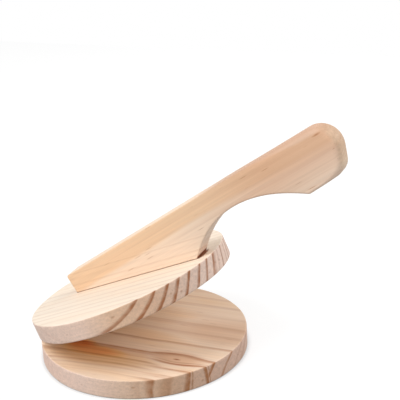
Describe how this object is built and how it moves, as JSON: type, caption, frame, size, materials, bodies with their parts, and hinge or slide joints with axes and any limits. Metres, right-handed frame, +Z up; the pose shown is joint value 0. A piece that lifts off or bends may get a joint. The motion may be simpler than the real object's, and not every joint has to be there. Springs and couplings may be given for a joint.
{
  "type": "dumpling wrapper press",
  "caption": "Hand press for round dough wrappers: a round wooden board with a knife-shaped handle tips up from a like board below it.",
  "frame": {"origin": "centre of the base board's underside, on the table", "axes": "+Z up, +X horizontal, along the handle from the rim where the boards touch towards the grip"},
  "size_m": [0.2012, 0.13, 0.1543],
  "materials": {
    "base_pine": "sanded, unfinished",
    "press_pine": "sanded, unfinished",
    "handle_pine": "sanded, unfinished",
    "screw_steel": "zinc-plated"
  },
  "bodies": {
    "base": {"base_board": "base_pine"},
    "press": {"press_board": "press_pine", "handle": "handle_pine", "handle_screws": "screw_steel"}
  },
  "joints": [
    {"name": "press_tilt", "type": "hinge", "parent": "base", "child": "press", "pos_m": [-0.065, 0, 0.01215], "axis": [0, -1, 0], "range_deg": [-21.86, 68.14]}
  ]
}
